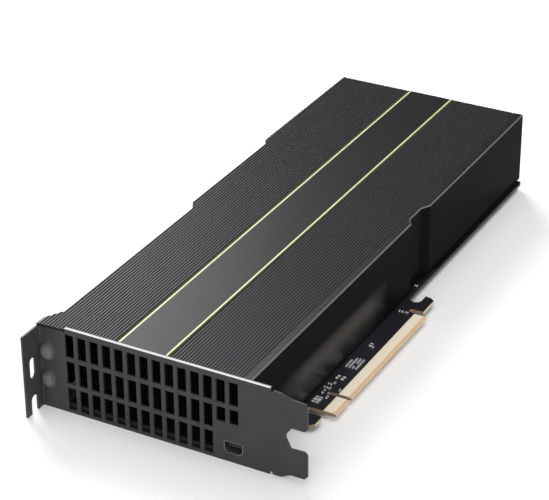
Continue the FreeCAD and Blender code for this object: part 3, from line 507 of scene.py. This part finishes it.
green.put(Roughness=0.35 + 0.1 * green.noise(500.0))
green.on("processor_substrate")
silicon = Finish("silicon_mirror", (0.12, 0.125, 0.14), 0.12, metallic=0.8)
silicon.put(Roughness=0.08 + 0.1 * silicon.noise(60.0))
silicon.on("processor_die", "memory_stacks")
tin = Finish("socket_tin", (0.20, 0.20, 0.20), 0.4, metallic=0.8)
tin.put(Roughness=0.3 + 0.15 * tin.noise(800.0))
tin.on("service_socket", "power_inlet_pins")

# ---------------------------------------------------------------- small chips
# Brown ceramic chips on the strip of board beside the contacts, each soldered
# down by a bright tinned cap on both of its ends.

CERAMIC_DARK = (0.045, 0.038, 0.032)
CERAMIC_PALE = (0.075, 0.062, 0.050)
ceramic = Finish("ceramic_brown", (0.05, 0.042, 0.036), 0.45)
ceramic.put(Base_Color=ceramic.blend(ceramic.noise(900.0).ramp(0.4, 0.6), CERAMIC_DARK, CERAMIC_PALE))
ceramic.on("edge_chips", "coupling_capacitors")


def solids_of(node, count):
    """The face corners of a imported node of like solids, in one row of points for each solid."""
    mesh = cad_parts[node].data
    corners = np.empty(len(mesh.loops), dtype=np.int32)
    mesh.loops.foreach_get("vertex_index", corners)
    return vectors(mesh.vertices, "co")[corners].reshape(count, -1, 3)


def blocks(name, low, high):
    """A piece of upright boxes, one for each row of the two arrays of corners. A box is a square
    ring under a like one, and each point takes its X, Y and Z from the low or the high corner."""
    pick = np.array([[0, 0, 0], [1, 0, 0], [1, 1, 0], [0, 1, 0], [0, 0, 1], [1, 0, 1], [1, 1, 1], [0, 1, 1]])
    points = np.where(pick == 1, high[:, None, :], low[:, None, :])
    box_faces = np.concatenate([[[0, 3, 2, 1], [4, 5, 6, 7]], ring_quads(2, 4)])
    faces = np.arange(len(low))[:, None, None] * len(pick) + box_faces
    piece = built(name, points, faces.reshape(-1, 4).tolist())
    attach(piece, "root")
    return piece


CHIP_COUNTS = {"edge_chips": 18, "coupling_capacitors": 14}
CAP_SHARE = 0.30
TIN_THICK = 0.00003
chips = np.concatenate([solids_of(node, count) for node, count in CHIP_COUNTS.items()])
chip_low = chips.min(axis=1)
chip_high = chips.max(axis=1)
lengthwise = np.eye(3)[np.argmax((chip_high - chip_low)[:, :2], axis=1)]
uncapped = (chip_high - chip_low) * (1.0 - CAP_SHARE) * lengthwise
tin_around = np.array([TIN_THICK, TIN_THICK, 0.0])
cap_low = np.concatenate([chip_low, chip_low + uncapped]) - tin_around
cap_high = np.concatenate([chip_high - uncapped, chip_high]) + TIN_THICK
caps = blocks("chip_ends", cap_low, cap_high)
solder = Finish("solder_tin", (0.88, 0.88, 0.88), 0.35, metallic=0.35)
solder.put(Roughness=0.3 + 0.15 * solder.noise(3000.0))
solder.on(caps)

# ---------------------------------------------------------------- screws
# Cold-headed steel screws, blackened. The cross recess of each head is drawn
# as a thin dark layer of two bars: painted shade standing in for its hollow.

CROSS_LENGTH = 0.0024
CROSS_WIDTH = 0.00055
CROSS_DEPTH = 0.00004
SCREW_COUNTS = {"backplate_screws": 8, "bracket_screws": 2, "clamp_screws": 4}
screw = Finish("screw_black", (0.05, 0.05, 0.05), 0.35, metallic=0.7)
screw.put(Roughness=0.3 + 0.2 * screw.noise(900.0))
screw.on("backplate_screws", "bracket_screws", "clamp_screws")
screws = [solids_of(node, count) for node, count in SCREW_COUNTS.items()]
screw_low = np.concatenate([each.min(axis=1) for each in screws])
screw_high = np.concatenate([each.max(axis=1) for each in screws])
heads = (screw_low + screw_high) / 2.0
heads[:, 2] = screw_low[:, 2]
lengthways = np.array([CROSS_LENGTH / 2.0, CROSS_WIDTH / 2.0, CROSS_DEPTH])
crossways = lengthways[[1, 0, 2]]
crosses = blocks("screw_crosses", np.concatenate([heads - lengthways, heads - crossways]),
                 np.concatenate([heads + lengthways, heads + crossways]))
shade = Finish("recess_shade", (0.004, 0.004, 0.004), 0.8, specular=0.1)
shade.put(Roughness=0.7 + 0.2 * shade.noise(2000.0))
shade.on(crosses)

# ---------------------------------------------------------------- floor
# A plain pale sheet, far wider than the view. The card lies on it on its back
# plate.

FLOOR_WHITE = (0.90, 0.90, 0.90)
FLOOR_PALE = (0.91, 0.91, 0.91)
FLOOR_HALF = 6.0
FLOOR_LINES = 5
span = np.linspace(-FLOOR_HALF, FLOOR_HALF, FLOOR_LINES)
across, along = np.meshgrid(span, span, indexing="ij")
floor_points = np.stack([across, along, np.zeros_like(across)], axis=-1)
index = np.arange(FLOOR_LINES ** 2).reshape(FLOOR_LINES, FLOOR_LINES)
floor_faces = np.stack([index[:-1, :-1], index[1:, :-1], index[1:, 1:], index[:-1, 1:]], axis=-1)
floor = built("floor", floor_points, floor_faces.reshape(-1, 4).tolist())
ground = Finish("floor_white", FLOOR_WHITE, 0.9, specular=0.0)
ground.put(Base_Color=ground.blend(ground.noise(0.6), FLOOR_WHITE, FLOOR_PALE))
ground.on(floor)

# ---------------------------------------------------------------- light
# Wide soft lamps in a dim white room: one from behind on the left, one
# overhead, one in front and one on the right.


def soft_lamp(name, place, target, width, height, power):
    """A rectangular lamp, sized in metres and with its power in watts, turned to its target."""
    lamp = bpy.data.lights.new(name, "AREA")
    lamp.shape = "RECTANGLE"
    lamp.size = width
    lamp.size_y = height
    lamp.energy = power
    stand = bpy.data.objects.new(name, lamp)
    aim = (Vector(target) - Vector(place)).to_track_quat("-Z", "Y").to_matrix().to_4x4()
    stand.matrix_world = Matrix.Translation(place) @ aim
    bpy.context.collection.objects.link(stand)


MIDDLE = (0.0, 0.0, 0.0)
ROOM_WHITE = (1.0, 1.0, 1.0, 1.0)
ROOM_LIGHT = 0.12
soft_lamp("back_left", (-1.12, 0.98, 0.95), (0.0, 0.0, 0.02), width=0.9, height=1.1, power=35.0)
soft_lamp("overhead", (0.3, -0.3, 3.0), MIDDLE, width=3.0, height=3.0, power=64.0)
soft_lamp("front", (0.9, -2.6, 1.5), MIDDLE, width=2.0, height=1.5, power=35.0)
soft_lamp("right", (2.8, -0.4, 1.3), MIDDLE, width=1.8, height=1.4, power=22.0)
scene = bpy.context.scene
room = scene.world or bpy.data.worlds.new("studio")
scene.world = room
room.use_nodes = True
room.node_tree.nodes["Background"].inputs["Color"].default_value = ROOM_WHITE
room.node_tree.nodes["Background"].inputs["Strength"].default_value = ROOM_LIGHT

# ---------------------------------------------------------------- camera
# A long lens, from the front right and above. Its directions are those in
# which it looks and in which its picture's right side lies.

CAMERA_PLACE = (0.349755, -0.684107, 0.445451)
CAMERA_LOOKS = (-0.41971, 0.76960, -0.48120)
CAMERA_RIGHT = (0.87932, 0.47620, -0.00535)
looks = Vector(CAMERA_LOOKS).normalized()
right = Vector(CAMERA_RIGHT).normalized()
lens = bpy.data.cameras.new("camera")
lens.sensor_fit = "HORIZONTAL"
lens.sensor_width = 36.0
lens.lens = 132.9
lens.clip_start = 0.01
lens.clip_end = 50.0
eye = bpy.data.objects.new("camera", lens)
turn = Matrix((right, right.cross(looks), -looks)).transposed().to_4x4()
eye.matrix_world = Matrix.Translation(CAMERA_PLACE) @ turn
bpy.context.collection.objects.link(eye)
scene.camera = eye
scene.view_settings.view_transform = "Standard"
